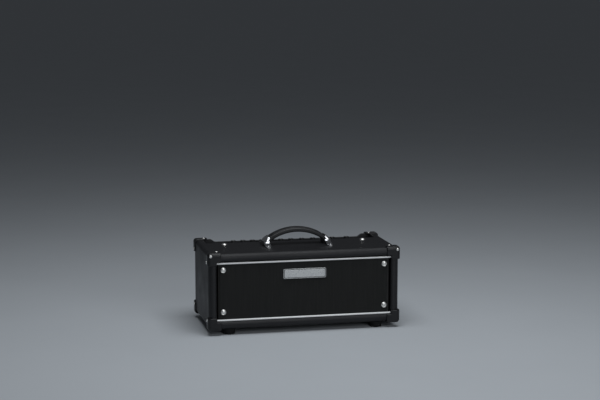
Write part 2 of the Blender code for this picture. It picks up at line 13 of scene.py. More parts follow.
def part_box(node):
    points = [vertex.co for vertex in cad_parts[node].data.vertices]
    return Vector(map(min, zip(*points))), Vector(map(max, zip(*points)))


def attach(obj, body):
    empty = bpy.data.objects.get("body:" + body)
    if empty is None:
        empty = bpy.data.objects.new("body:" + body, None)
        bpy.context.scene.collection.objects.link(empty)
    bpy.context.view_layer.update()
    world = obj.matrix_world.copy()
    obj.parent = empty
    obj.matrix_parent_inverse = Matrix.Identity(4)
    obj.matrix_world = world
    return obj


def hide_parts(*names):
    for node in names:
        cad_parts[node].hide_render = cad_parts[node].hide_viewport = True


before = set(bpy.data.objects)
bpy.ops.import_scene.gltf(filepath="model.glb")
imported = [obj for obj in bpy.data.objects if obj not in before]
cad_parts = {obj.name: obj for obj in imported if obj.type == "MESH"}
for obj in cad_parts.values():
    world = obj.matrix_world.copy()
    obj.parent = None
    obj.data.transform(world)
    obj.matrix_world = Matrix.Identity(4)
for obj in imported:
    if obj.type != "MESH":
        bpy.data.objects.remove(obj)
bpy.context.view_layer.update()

CABINET = "cabinet"
FINE = 10
TAU = 2 * math.pi
TO_REAR = Matrix.Rotation(-math.pi / 2, 4, "X")

SIDE_LOW, SIDE_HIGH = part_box("cabinet_right_side")
FRONT, REAR = SIDE_LOW.y, SIDE_HIGH.y
HALF_WIDTH = SIDE_HIGH.x
BASE, TOP = SIDE_LOW.z, SIDE_HIGH.z
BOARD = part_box("cabinet_bottom")[1].z - BASE
EDGE_RADIUS = 0.010
PROTECTOR_RADIUS = 0.008
PANEL_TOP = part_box("control_panel")[1].z
KNOBS = [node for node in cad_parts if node.startswith("knob_")]


# ---------------------------------------------------------------- materials


class Finish:
    """A Principled material fed by procedural nodes that read the piece's own coordinates, in metres."""

    def __init__(self, name, roughness=0.5, metallic=0.0, colour=(0.5, 0.5, 0.5), **sockets):
        self.material = bpy.data.materials.new(name)
        self.material.use_nodes = True
        self.tree = self.material.node_tree
        self.shader = self.tree.nodes["Principled BSDF"]
        self.shader.inputs["Base Color"].default_value = (*colour, 1)
        self.shader.inputs["Roughness"].default_value = roughness
        self.shader.inputs["Metallic"].default_value = metallic
        for socket, value in sockets.items():
            self.shader.inputs[socket.replace("_", " ")].default_value = value
        self.place = self.add("TexCoord")["Object"]

    def add(self, kind, inputs=None, **settings):
        """One node of a kind, with its inputs set or linked. Returns its outputs."""
        node = self.tree.nodes.new("ShaderNode" + kind)
        for name, value in settings.items():
            setattr(node, name, value)
        for name, value in (inputs or {}).items():
            if isinstance(value, bpy.types.NodeSocket):
                self.tree.links.new(value, node.inputs[name])
            else:
                node.inputs[name].default_value = value
        return node.outputs

    def math(self, operation, first, second=0.0, clamp=False):
        return self.add("Math", {0: first, 1: second}, operation=operation, use_clamp=clamp)[0]

    def stretched(self, x, y, z):
        return self.add("Mapping", {"Vector": self.place, "Scale": (x, y, z)})[0]

    def noise(self, scale, detail=3.0, roughness=0.55, vector=None):
        inputs = {"Vector": vector or self.place, "Scale": scale, "Detail": detail, "Roughness": roughness}
        return self.add("TexNoise", inputs)["Fac"]

    def cells(self, scale, feature="F1", vector=None, randomness=1.0):
        inputs = {"Vector": vector or self.place, "Scale": scale, "Randomness": randomness}
        return self.add("TexVoronoi", inputs, feature=feature)["Distance"]

    def between(self, value, low, high, start=0.0, end=1.0):
        """The value mapped from start..end to low..high."""
        inputs = {"Value": value, "From Min": start, "From Max": end, "To Min": low, "To Max": high}
        return self.add("MapRange", inputs)[0]

    def colour_between(self, value, first, second):
        inputs = {"Factor": value, "A": (*first, 1), "B": (*second, 1)}
        node = self.tree.nodes.new("ShaderNodeMix")
        node.data_type = "RGBA"
        self.tree.links.new(inputs["Factor"], node.inputs[0])
        node.inputs[6].default_value = inputs["A"]
        node.inputs[7].default_value = inputs["B"]
        self.tree.links.new(node.outputs[2], self.shader.inputs["Base Color"])
        return node.outputs[2]

    def rough(self, value, low, high, start=0.3, end=0.7):
        self.tree.links.new(self.between(value, low, high, start, end), self.shader.inputs["Roughness"])

    def bump(self, height, distance, under=None):
        inputs = {"Height": height, "Distance": distance, "Strength": 1.0}
        if under is not None:
            inputs["Normal"] = under
        normal = self.add("Bump", inputs)["Normal"]
        self.tree.links.new(normal, self.shader.inputs["Normal"])
        return normal


def make_covering():
    """Black vinyl with a pebbled grain about a millimetre across, and faint rubbed patches."""
    finish = Finish("covering", Specular_IOR_Level=0.38)
    warp = finish.add("TexNoise", {"Vector": finish.place, "Scale": 520.0, "Detail": 2.0})["Color"]
    spread = finish.add("VectorMath", {0: warp, 1: (0.0011, 0.0011, 0.0011)}, operation="MULTIPLY")[0]
    warped = finish.add("VectorMath", {0: finish.place, 1: spread}, operation="ADD")[0]
    pebble = finish.cells(820.0, "SMOOTH_F1", warped)
    crease = finish.cells(820.0, "DISTANCE_TO_EDGE", warped)
    grain = finish.between(crease, 0.0, 1.0, 0.0, 0.16)
    patches = finish.noise(14.0, 4.0)
    # the colour is darker in the creases between pebbles and lighter on their crowns: painted shade in the
    # creases
    finish.colour_between(finish.between(grain, 0.0, 1.0), (0.0045, 0.0045, 0.0052), (0.0125, 0.0125, 0.0145))
    finish.rough(patches, 0.40, 0.56)
    fine = finish.bump(finish.noise(5200.0, 2.0), 0.00002)
    round_top = finish.bump(finish.math("MULTIPLY", pebble, -1.0), 0.00018, fine)
    finish.bump(grain, 0.00007, round_top)
    return finish.material


def make_cloth():
    """Woven grille cloth: upright ribs crossed by finer threads, over and under in turn."""
    rib, thread = 0.0013, 0.0008
    finish = Finish("grille_cloth", roughness=0.85, Specular_IOR_Level=0.25, Sheen_Weight=0.12)
    parts = finish.add("SeparateXYZ", {0: finish.place})
    across = finish.math("DIVIDE", parts["X"], rib)
    along = finish.math("DIVIDE", parts["Z"], thread)
    rib_bulge = finish.math("ABSOLUTE", finish.math("SINE", finish.math("MULTIPLY", across, math.pi)))
    thread_bulge = finish.math("ABSOLUTE", finish.math("SINE", finish.math("MULTIPLY", along, math.pi)))
    steps = finish.math("ADD", finish.math("FLOOR", across), finish.math("FLOOR", along))
    turn = finish.math("PINGPONG", steps, 1.0)
    over = finish.math("MULTIPLY", rib_bulge, finish.between(thread_bulge, 0.75, 1.0))
    under = finish.math("MULTIPLY", thread_bulge, finish.between(rib_bulge, 0.45, 0.70))
    picked = finish.add("Mix", {0: turn, 2: over, 3: under})[0]
    streak = finish.noise(1.0, 2.0, vector=finish.stretched(260.0, 1.0, 9.0))
    # the colour follows the height of the top thread: painted shade in the valleys between threads and painted
    # highlight on their crowns; the streaks along the ribs are the yarn's own uneven tone
    weave_shade_and_streaks = finish.math("MULTIPLY", picked, finish.between(streak, 0.72, 1.28, 0.3, 0.7))
    finish.colour_between(weave_shade_and_streaks, (0.0035, 0.0036, 0.0035), (0.0210, 0.0218, 0.0205))
    fibre = finish.bump(finish.noise(6500.0, 2.0), 0.00003)
    finish.bump(picked, 0.00022, fibre)
    return finish.material


def make_plastic(name, colour, low, high, grain=0.00003, scale=3600.0, **sockets):
    """Moulded plastic or rubber with a fine spark-eroded surface and slightly uneven gloss."""
    finish = Finish(name, **sockets)
    patches = finish.noise(40.0, 3.0)
    lighter = tuple(1.35 * part for part in colour)
    finish.colour_between(finish.between(patches, 0.0, 1.0, 0.3, 0.7), colour, lighter)
    finish.rough(patches, low, high)
    finish.bump(finish.noise(scale, 2.0), grain)
    return finish.material


def make_metal(name, colour, low, high, brushed=False):
    """Plated or bare metal: smudged gloss, with fine lines along X when brushed."""
    finish = Finish(name, metallic=1.0, colour=colour)
    smudge = finish.noise(220.0, 3.0)
    shade = tuple(0.93 * part for part in colour)
    finish.colour_between(finish.between(smudge, 0.0, 1.0, 0.35, 0.65), shade, colour)
    finish.rough(smudge, low, high)
    if brushed:
        finish.bump(finish.noise(1.0, 2.0, vector=finish.stretched(60.0, 2600.0, 2600.0)), 0.00002)
    else:
        finish.bump(finish.noise(900.0, 1.0), 0.000004)
    return finish.material


def make_powder_coat():
    """Black powder coat with its orange-peel surface."""
    finish = Finish("powder_coat", Specular_IOR_Level=0.4)
    peel = finish.noise(1300.0, 2.0)
    finish.colour_between(finish.noise(60.0), (0.0090, 0.0090, 0.0095), (0.0150, 0.0150, 0.0158))
    finish.rough(peel, 0.42, 0.58)
    finish.bump(peel, 0.00006)
    return finish.material


def make_silver_piping():
    """Silver-white vinyl bead with faint drawn lines along its length."""
    finish = Finish("silver_piping", metallic=0.10, Specular_IOR_Level=0.75)
    lines = finish.noise(1.0, 2.0, vector=finish.stretched(12.0, 2200.0, 2200.0))
    finish.colour_between(finish.between(lines, 0.0, 1.0, 0.3, 0.7), (0.84, 0.84, 0.84), (0.93, 0.93, 0.92))
    finish.rough(finish.noise(90.0), 0.28, 0.40)
    finish.bump(lines, 0.00002)
    return finish.material


def make_print():
    """Screen-printed white ink, slightly broken up."""
    finish = Finish("white_print", roughness=0.6)
    finish.colour_between(finish.noise(2500.0), (0.42, 0.42, 0.41), (0.66, 0.66, 0.64))
    finish.bump(finish.noise(3000.0), 0.00001)
    return finish.material


def make_board():
    """Painted or pressed board: faint fibres and a dull surface."""
    finish = Finish("painted_board", roughness=0.85)
    fibres = finish.noise(1.0, 4.0, vector=finish.stretched(40.0, 400.0, 400.0))
    finish.colour_between(fibres, (0.006, 0.0055, 0.005), (0.014, 0.013, 0.012))
    finish.bump(fibres, 0.0001)
    return finish.material


def make_circuit_board():
    """Green solder mask with darker traces."""
    finish = Finish("circuit_board", roughness=0.4)
    traces = finish.cells(160.0, "DISTANCE_TO_EDGE", randomness=0.3)
    lines = finish.between(traces, 0.0, 1.0, 0.02, 0.06)
    finish.colour_between(lines, (0.010, 0.075, 0.030), (0.02, 0.13, 0.05))
    finish.rough(finish.noise(120.0), 0.3, 0.5)
    finish.bump(traces, 0.00003)
    return finish.material


def make_cone():
    """Pressed paper cone: fibrous and matt."""
    finish = Finish("cone_paper", roughness=0.9)
    fibres = finish.noise(900.0, 5.0, 0.7)
    finish.colour_between(fibres, (0.012, 0.012, 0.013), (0.035, 0.035, 0.037))
    finish.bump(fibres, 0.00012)
    return finish.material


def make_lens(name, colour):
    """A small unlit indicator lens."""
    finish = Finish(name, Coat_Weight=0.5)
    finish.colour_between(finish.noise(900.0), tuple(0.5 * part for part in colour), colour)
    finish.rough(finish.noise(400.0), 0.12, 0.25)
    finish.bump(finish.noise(1200.0), 0.00001)
    return finish.material


COVERING = make_covering()
CLOTH = make_cloth()
PROTECTOR = make_plastic("protector_plastic", (0.0070, 0.0070, 0.0078), 0.28, 0.40, Specular_IOR_Level=0.38)
KNOB_PLASTIC = make_plastic("knob_plastic", (0.0090, 0.0090, 0.0095), 0.34, 0.46)
HANDLE_PLASTIC = make_plastic("handle_plastic", (0.0075, 0.0075, 0.0082), 0.36, 0.50, 0.00004, 2400.0)
RUBBER = make_plastic(
    "rubber", (0.0060, 0.0060, 0.0062), 0.70, 0.85, 0.00004, 1800.0, Specular_IOR_Level=0.25
)
CHROME = make_metal("chrome", (0.80, 0.80, 0.81), 0.10, 0.20)
NICKEL = make_metal("nickel_plate", (0.86, 0.85, 0.82), 0.30, 0.42)
ZINC = make_metal("zinc_plate", (0.52, 0.52, 0.50), 0.26, 0.42, brushed=True)
SATIN_SILVER = make_metal("satin_silver", (0.74, 0.74, 0.73), 0.24, 0.34, brushed=True)
POWDER = make_powder_coat()
PIPING = make_silver_piping()
PRINT = make_print()
BOARD_PAINT = make_board()
GREEN_BOARD = make_circuit_board()
CONE = make_cone()
RED_LENS = make_lens("red_lens", (0.35, 0.015, 0.010))
GREEN_LENS = make_lens("green_lens", (0.02, 0.22, 0.04))


# ---------------------------------------------------------------- mesh tools


def to_mesh(name, bm, sharp=40.0):
    mesh = bpy.data.meshes.new(name)
    bm.to_mesh(mesh)
    bm.free()
    mesh.shade_smooth()
    mesh.set_sharp_from_angle(angle=math.radians(sharp))
    return mesh


def show(name, shape, material, body=CABINET, stands_for=(), matrix=None, sharp=40.0):
    """A visible piece from a bmesh or a shared mesh, riding on a CAD body."""
    mesh = shape if isinstance(shape, bpy.types.Mesh) else to_mesh(name, shape, sharp)
    if not mesh.materials:
        mesh.materials.append(material)
    piece = bpy.data.objects.new(name, mesh)
    bpy.context.scene.collection.objects.link(piece)
    if matrix is not None:
        piece.matrix_world = matrix
    even = piece.modifiers.new("Even_normals", "WEIGHTED_NORMAL")
    even.keep_sharp = True
    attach(piece, body)
    if stands_for:
        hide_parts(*stands_for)
    return piece


def add_box(bm, low, high):
    low, high = Vector(low), Vector(high)
    placed = Matrix.Translation((low + high) / 2) @ Matrix.Diagonal((*(high - low), 1))
    return bmesh.ops.create_cube(bm, size=1, matrix=placed)["verts"]


def soft_box(low, high, radius, segments=4, wanted=lambda a, b: True):
    """A box with rounded edges, or only those whose two ends pass the test."""
    bm = bmesh.new()
    add_box(bm, low, high)
    round_edges(bm, radius, segments, wanted)
    return bm


def round_edges(bm, radius, segments, wanted=lambda a, b: True):
    edges = [edge for edge in bm.edges if wanted(edge.verts[0].co, edge.verts[1].co)]
    bmesh.ops.bevel(
        bm, geom=edges, offset=radius, segments=segments, profile=0.5, affect="EDGES", clamp_overlap=False
    )


def bridge(bm, loops, closed_round=True, closed_along=False):
    """Quads between neighbouring loops of vertices; a loop of one vertex makes a fan."""
    pairs = list(zip(loops, loops[1:]))
    if closed_along:
        pairs.append((loops[-1], loops[0]))
    for first, second in pairs:
        count = max(len(first), len(second))
        for index in range(count if closed_round else count - 1):
            following = (index + 1) % count
            if len(first) == 1:
                corners = (first[0], second[following], second[index])
            elif len(second) == 1:
                corners = (first[index], first[following], second[0])
            else:
                corners = (first[index], first[following], second[following], second[index])
            bm.faces.new(corners)


def lathe(profile, sides=48, ripple=None, closed=False):
    """A turned shape from (radius, height) points. A ripple scales the radius at each point and angle."""
    bm = bmesh.new()
    loops = []
    for index, (radius, height) in enumerate(profile):
        if radius < 1e-7:
            loops.append([bm.verts.new((0, 0, height))])
            continue
        loop = []
        for step in range(sides):
            angle = TAU * step / sides
            reach = radius * (ripple(index, angle) if ripple else 1.0)
            loop.append(bm.verts.new((reach * math.cos(angle), reach * math.sin(angle), height)))
        loops.append(loop)
    bridge(bm, loops, closed_along=closed)
    bmesh.ops.recalc_face_normals(bm, faces=bm.faces)
    return bm


def arc(centre, radius, start, end, steps):
    """Points of an arc in a plane, from one angle in degrees to another."""
    angles = [math.radians(start + (end - start) * step / steps) for step in range(steps + 1)]
    return [(centre[0] + radius * math.cos(a), centre[1] + radius * math.sin(a)) for a in angles]


def extruded(outline, plane, start, end):
    """A solid from an outline in the plane XZ, YZ or XY, between two places on the third axis."""
    spot = {
        "XZ": lambda a, b: Vector((a, start, b)),
        "YZ": lambda a, b: Vector((start, a, b)),
        "XY": lambda a, b: Vector((a, b, start)),
    }[plane]
    push = {"XZ": Vector((0, 1, 0)), "YZ": Vector((1, 0, 0)), "XY": Vector((0, 0, 1))}[plane] * (end - start)
    bm = bmesh.new()
    face = bm.faces.new([bm.verts.new(spot(a, b)) for a, b in outline])
    grown = bmesh.ops.extrude_face_region(bm, geom=[face])
    moved = [item for item in grown["geom"] if isinstance(item, bmesh.types.BMVert)]
    bmesh.ops.translate(bm, vec=push, verts=moved)
    bmesh.ops.recalc_face_normals(bm, faces=bm.faces)
    return bm


def carved(bm, cutters, operation="DIFFERENCE"):
    """The bmesh after a Boolean with each cutter in turn."""
    meshes = []
    for shape in [bm, *cutters]:
        mesh = bpy.data.meshes.new("shape")
        shape.to_mesh(mesh)
        shape.free()
        meshes.append(bpy.data.objects.new("shape", mesh))
        bpy.context.scene.collection.objects.link(meshes[-1])
    for cutter in meshes[1:]:
        modifier = meshes[0].modifiers.new("cut", "BOOLEAN")
        modifier.operation = operation
        modifier.solver = "EXACT"
        modifier.object = cutter
    bpy.context.view_layer.update()
    evaluated = meshes[0].evaluated_get(bpy.context.evaluated_depsgraph_get())
    result = bmesh.new()
    result.from_mesh(evaluated.to_mesh())
    evaluated.to_mesh_clear()
    for item in meshes:
        data = item.data
        bpy.data.objects.remove(item)
        bpy.data.meshes.remove(data)
    return result


def middle(node):
    low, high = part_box(node)
    return (low + high) / 2


# ---------------------------------------------------------------- screws


def cross_cutters(reach, width, depth, top):
    """The two tapered slots of a cross recess, sunk from a level."""
    slots = []
    for turn in (0.01, 0.01 + math.pi / 2):
        bm = bmesh.new()
        corners = add_box(bm, (-reach, -width / 2, top - depth), (reach, width / 2, top + depth))
        for corner in corners:
            if corner.co.z < top:
                corner.co.x *= 0.60
        bmesh.ops.rotate(bm, verts=corners, cent=(0, 0, 0), matrix=Matrix.Rotation(turn, 3, "Z"))
        slots.append(bm)
    return slots


def screw_head(radius, height):
    """A raised cross-recess head standing on z = 0."""
    profile = [(0, height)]
    profile += [(radius * reach, height * rise) for reach, rise in ((0.45, 0.96), (0.70, 0.88), (0.86, 0.74))]
    profile += [(radius * 0.95, height * 0.52), (radius * 0.99, height * 0.25)]
    profile += [(radius, 0.0), (radius * 0.9, -0.0004), (0, -0.0004)]
    recess = cross_cutters(radius * 0.62, radius * 0.24, height * 0.80, height * 1.02)
    return carved(lathe(profile, 32), recess)


def cup_washer(radius, height):
    """A pressed finishing washer: a rolled rim that rises to the seat of the head."""
    profile = [(radius, 0.0), (radius, 0.0004), (radius * 0.96, 0.0008)]
    profile += [(radius * 0.86, height * 0.75), (radius * 0.74, height), (radius * 0.64, height * 0.92)]
    profile += [(radius * 0.60, height * 0.55), (radius * 0.60, 0.0)]
    return lathe(profile, 40, closed=True)


SMALL_HEAD = to_mesh("small_head", screw_head(0.0037, 0.0021), 50)
PANEL_HEAD = to_mesh("panel_head", screw_head(0.0028, 0.0013), 50)
OVAL_HEAD = to_mesh("oval_head", screw_head(0.0046, 0.0021), 50)
CUP = to_mesh("cup_washer", cup_washer(0.0070, 0.0024), 50)


def facing(place, normal, twist=0.0):
    """A matrix that stands a piece on a surface, its +Z along the normal."""
    turn = Vector(normal).to_track_quat("Z", "Y").to_matrix().to_4x4()
    return Matrix.Translation(place) @ turn @ Matrix.Rotation(twist, 4, "Z")


def cup_screw(name, place, normal, twist, stands_for=()):
    """A cross-head screw in a cup washer, which may stand for one CAD screw."""
    washer = show(f"{name}_washer", CUP, NICKEL, matrix=facing(place, normal))
    raised = Vector(place) + Vector(normal) * 0.0016
    head = show(f"{name}_head", OVAL_HEAD, NICKEL, matrix=facing(raised, normal, twist))
    if stands_for:
        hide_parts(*stands_for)
    return washer, head


# ---------------------------------------------------------------- cabinet


def cabinet_loop(inset, y):
    """A rounded rectangle round the cabinet, set in from its outside, in the plane of one y."""
    radius = max(EDGE_RADIUS - inset, 0.0008)
    half_width = HALF_WIDTH - inset - radius
    half_height = (TOP - BASE) / 2 - inset - radius
    points = []
    for corner, (x_side, z_side) in enumerate(((1, 1), (-1, 1), (-1, -1), (1, -1))):
        centre = (x_side * half_width, (TOP + BASE) / 2 + z_side * half_height)
        for x, z in arc(centre, radius, 90 * corner, 90 * corner + 90, FINE):
            points.append((x, y, z))
    return points


def build_cabinet():
    """The covered board tube, open at the front and rear, cut away above the control panel."""
    outer_radius, inner_radius = 0.0125, 0.007
    outer = arc((outer_radius, outer_radius), outer_radius, 180, 270, FINE)
    inner = arc((BOARD - inner_radius, inner_radius), inner_radius, 270, 360, 7)
    half = outer + inner
    profile = [(inset, FRONT + depth) for inset, depth in half]
    profile += [(inset, REAR - depth) for inset, depth in reversed(half)]
    bm = bmesh.new()
    loops = [[bm.verts.new(point) for point in cabinet_loop(inset, y)] for inset, y in profile]
    bridge(bm, loops, closed_along=True)
    bmesh.ops.recalc_face_normals(bm, faces=bm.faces)

    ledge = HALF_WIDTH - BOARD - 0.0006
    recess_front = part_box("cabinet_top")[1].y
    cutter = bmesh.new()
    rail_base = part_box("cabinet_rear_rail")[0].z
    add_box(cutter, (-ledge, recess_front, rail_base), (ledge, REAR + 0.05, TOP + 0.05))
    bm = carved(bm, [cutter])

    near = 0.0001

    def on_rim(a, b):
        level = min(a.z, b.z) > TOP - near
        on_front = abs(a.y - recess_front) < near and abs(b.y - recess_front) < near
        on_side = min(abs(a.x), abs(b.x)) > ledge - near and max(abs(a.x), abs(b.x)) < ledge + near
        return level and (on_front or (on_side and abs(a.y - b.y) > near))

    round_edges(bm, 0.0040, 5, on_rim)
    boards = ("cabinet_left_side", "cabinet_right_side", "cabinet_top", "cabinet_bottom")
    show("cabinet_covering", bm, COVERING, stands_for=boards)

    low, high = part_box("front_baffle")
    wall, batten_width, batten_depth, gap = HALF_WIDTH - BOARD, 0.016, 0.018, 0.0003
    batten_front, batten_back = high.y + gap, high.y + gap + batten_depth
    for name, side in (("baffle_batten_left", -1), ("baffle_batten_right", 1)):
        ends = sorted((side * wall, side * (wall - batten_width)))
        batten_low, batten_high = (ends[0], batten_front, low.z), (ends[1], batten_back, high.z)
        batten = soft_box(batten_low, batten_high, 0.0010, 2)
        show(name, batten, BOARD_PAINT)


def build_rear_rail():
    """The rail behind the controls, its top dipping between two shoulders."""
    low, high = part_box("cabinet_rear_rail")
    dip, shoulder_in, shoulder_out = 0.190, 0.181, 0.195
    reach = high.x
    stations = [-reach, -shoulder_out]
    stations += [-shoulder_out + (shoulder_out - shoulder_in) * step / 8 for step in range(1, 9)]
    stations += [x for x in (-0.12, -0.06, 0.0, 0.06, 0.12)]
    stations += [-x for x in reversed(stations[:10])]
    bm = bmesh.new()
    loops = []
    for x in stations:
        share = min(max((abs(x) - shoulder_in) / (shoulder_out - shoulder_in), 0.0), 1.0)
        top = dip + (high.z - dip) * share * share * (3 - 2 * share)
        points = [(low.y, low.z), (high.y, low.z)]
        points += arc((high.y - EDGE_RADIUS, top - EDGE_RADIUS), EDGE_RADIUS, 0, 90, FINE)
        points += arc((low.y + 0.002, top - 0.002), 0.002, 90, 180, 4)
        loops.append([bm.verts.new((x, y, z)) for y, z in points])
    bridge(bm, loops)
    bm.faces.new(loops[0])
    bm.faces.new(loops[-1][::-1])
    bmesh.ops.recalc_face_normals(bm, faces=bm.faces)
    show("rear_rail_covering", bm, COVERING, stands_for=("cabinet_rear_rail",))


# ---------------------------------------------------------------- front


def build_grille():
    """The cloth, stretched over its baffle and turned back round the edges, with its trim."""
    low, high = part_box("grille_cloth")
    side_fall, level_fall, cell = 0.0065, 0.0015, 0.004
    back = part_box("front_baffle")[0].y

    def spread(start, end, fall):
        edges = [fall * (1 - math.cos(math.radians(15 * step))) for step in range(7)]
        count = max(2, round((end - start - 2 * fall) / cell))
        body = [start + fall + (end - start - 2 * fall) * step / count for step in range(1, count)]
        return [start + edge for edge in edges] + body + [end - edge for edge in reversed(edges)]

    def drop(value, start, end, fall):
        inside = min(value - start, end - value)
        return fall - math.sqrt(max(fall**2 - max(fall - inside, 0.0) ** 2, 0.0))

    columns, rows = spread(low.x, high.x, side_fall), spread(low.z, high.z, level_fall)
    bm = bmesh.new()
    loops = []
    for z in rows:
        turned = drop(z, low.z, high.z, level_fall)
        depths = [low.y + math.hypot(drop(x, low.x, high.x, side_fall), turned) for x in columns]
        loops.append([bm.verts.new((x, min(y, back + 0.004), z)) for x, y in zip(columns, depths)])
    bridge(bm, loops, closed_round=False)
    bmesh.ops.recalc_face_normals(bm, faces=bm.faces)
    cloth = show("grille_cloth_stretched", bm, CLOTH, stands_for=("grille_cloth",), sharp=80)

    for node in ("piping_top", "piping_bottom"):
        low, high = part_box(node)
        radius = (high.z - low.z) / 2
        outline = [(high.y, low.z)]
        outline += arc((low.y + radius, low.z + radius), radius, 270, 90, 14) + [(high.y, high.z)]
        bm = extruded(outline, "YZ", low.x, high.x)
        show(f"{node}_bead", bm, PIPING, stands_for=(node,), sharp=50)

    for node in [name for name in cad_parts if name.startswith("grille_screw")]:
        low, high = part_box(node)
        place = Vector(((low.x + high.x) / 2, high.y, (low.z + high.z) / 2))
        twist = 0.4 if "upper" in node else 1.1
        cup_screw(node, place, (0, -1, 0), twist, stands_for=(node,))


def build_name_plate():
    """A blank name plate: a satin silver rim and field with a black groove between them."""
    low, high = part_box("name_plate")
    rim, groove, depth = 0.0011, 0.0014, 0.0012

    def slab(inset, front, back, radius):
        corner_low = (low.x + inset, front, low.z + inset)
        corner_high = (high.x - inset, back, high.z - inset)
        return soft_box(corner_low, corner_high, radius, 6, lambda a, b: abs(a.y - b.y) > 0.0001)

    plate = slab(0, low.y, high.y, 0.0030)
    round_edges(plate, 0.0003, 2, lambda a, b: max(a.y, b.y) < low.y + 0.0001)
    rim_ring = carved(plate, [slab(rim, low.y - 0.01, low.y + depth, 0.0020)])
    show("name_plate_rim", rim_ring, SATIN_SILVER, stands_for=("name_plate",))
    show("name_plate_groove", slab(rim + 0.0001, low.y + depth - 0.0002, low.y + depth + 0.0001, 0.0018),
         KNOB_PLASTIC)
    field = slab(rim + groove, low.y - 0.0001, low.y + depth, 0.0012)
    round_edges(field, 0.0003, 2, lambda a, b: max(a.y, b.y) < low.y)
    show("name_plate_field", field, SATIN_SILVER)


# ---------------------------------------------------------------- corner protectors


def on_rounded_block(spot, radius):
    """The nearest point of a rounded block, and its normal, from distances in from the block's corner."""
    core = Vector([max(part, radius) for part in spot])
    normal = (Vector(spot) - core).normalized()
    return core + normal * radius, normal


def flap_ticks(leg, ledge, rim):
    """Distances from the corner along one leg, closer together at its bends and rims."""
    ends = [0.0, PROTECTOR_RADIUS, ledge - rim, ledge, leg - rim, leg]
    ticks = [0.0]
    for start, end, count in zip(ends, ends[1:], (7, 4, 5, 3, 5)):
        ticks += [start + (end - start) * step / count for step in range(1, count + 1)]
    return ticks


def round_free_corner(u, v, leg_u, leg_v, radius):
    """Pulls a flap's free corner in to a radius, the more the nearer the rim."""
    if min(u, v) < 1e-9:
        return u, v
    scale = min(leg_u / u, leg_v / v)
    rim_u, rim_v = u * scale, v * scale
    core_u, core_v = leg_u - radius, leg_v - radius
    if rim_u <= core_u or rim_v <= core_v:
        return u, v
    a = rim_u**2 + rim_v**2
    b = -2 * (rim_u * core_u + rim_v * core_v)
    c = core_u**2 + core_v**2 - radius**2
    reach = (-b + math.sqrt(max(b * b - 4 * a * c, 0.0))) / (2 * a)
    pull = 1 - (1 - reach) / scale**4
    return u * pull, v * pull


def build_protector(node):
    """One moulded corner: two rounded flaps and one that follows the ends of the boards, with its screws."""
    low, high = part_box(node)
    signs = (1 if "right" in node else -1, 1 if "rear" in node else -1, 1 if "upper" in node else -1)
    stand = (high.x if signs[0] > 0 else -low.x) - HALF_WIDTH
    legs, ledge = tuple(high - low), BOARD + stand
    rim, rim_drop, seat, seat_drop = 0.0024, 0.0015, 0.0050, 0.0004
    corner = Vector((HALF_WIDTH, REAR, (TOP - BASE) / 2)) + Vector((stand, stand, stand))
    heart = Vector((0, 0, (TOP + BASE) / 2))

    def to_place(spot):
        return heart + Vector([sign * (far - part) for sign, far, part in zip(signs, corner, spot)])

    def to_normal(normal):
        return Vector([-sign * part for sign, part in zip(signs, normal)])

    screws = [(0.024, 0.018, 0.0), (0.0, 0.016, 0.0245)]
    if signs[2] > 0:
        screws.append((0.0075, 0.0, 0.0078))
    seats = [on_rounded_block(spot, PROTECTOR_RADIUS) for spot in screws]

    bm = bmesh.new()
    shells = {}

    def vertex_pair(key, spot, share):
        """The outer and inner vertex at one place of the flaps, made once."""
        if key not in shells:
            outside, normal = on_rounded_block(spot, PROTECTOR_RADIUS)
            outside -= normal * rim_drop * (1 - math.sqrt(1 - (1 - share) ** 2))
            for middle_of_seat, _ in seats:
                fade = min(max((seat - (outside - middle_of_seat).length) / 0.0012, 0.0), 1.0)
                outside -= normal * seat_drop * fade * fade * (3 - 2 * fade)
            lift = Vector((stand - 0.0002,) * 3)
            inside = on_rounded_block(outside - lift, EDGE_RADIUS)[0] + lift
            shells[key] = (bm.verts.new(to_place(outside)), bm.verts.new(to_place(inside)))
        return shells[key]

    for first, second in ((0, 1), (0, 2), (1, 2)):
        follows_boards = (first, second) == (0, 2)
        leg_u, leg_v = legs[first], legs[second]
        grid = []
        for u in flap_ticks(leg_u, ledge if first != 1 else leg_u / 2, rim):
            row = []
            for v in flap_ticks(leg_v, ledge if second != 1 else leg_v / 2, rim):
                inside = min(leg_u - u, leg_v - v)
                key = [0, 0, 0]
                key[first], key[second] = round(u * 1e7), round(v * 1e7)
                if follows_boards:
                    if min(u, v) > ledge + 1e-7:
                        row.append(None)
                        continue
                    inside = min(inside, math.hypot(max(ledge - u, 0.0), max(ledge - v, 0.0)))
                    spot_u, spot_v = u, v
                else:
                    spot_u, spot_v = round_free_corner(u, v, leg_u, leg_v, 0.0085)
                spot = [0.0, 0.0, 0.0]
                spot[first], spot[second] = spot_u, spot_v
                row.append(vertex_pair(tuple(key), spot, min(max(inside / rim, 0.0), 1.0)))
            grid.append(row)
        for row, following in zip(grid, grid[1:]):
            for index in range(len(row) - 1):
                ring = (row[index], row[index + 1], following[index + 1], following[index])
                if None not in ring:
                    bm.faces.new([pair[0] for pair in ring])
                    bm.faces.new([pair[1] for pair in reversed(ring)])
    partner = dict(shells.values())
    for edge in [edge for edge in bm.edges if edge.is_boundary and edge.verts[0] in partner]:
        start, end = edge.verts
        bm.faces.new((start, end, partner[end], partner[start]))
    bmesh.ops.recalc_face_normals(bm, faces=bm.faces)
    show(f"{node}_shell", bm, PROTECTOR, stands_for=(node,), sharp=60)
    for index, (spot, normal) in enumerate(seats):
        out = to_normal(normal)
        matrix = facing(to_place(spot) - out * seat_drop, out, 0.5 + index + signs[0] * 0.3)
        show(f"{node}_screw_{index + 1}", SMALL_HEAD, NICKEL, matrix=matrix)


# ---------------------------------------------------------------- handle and feet


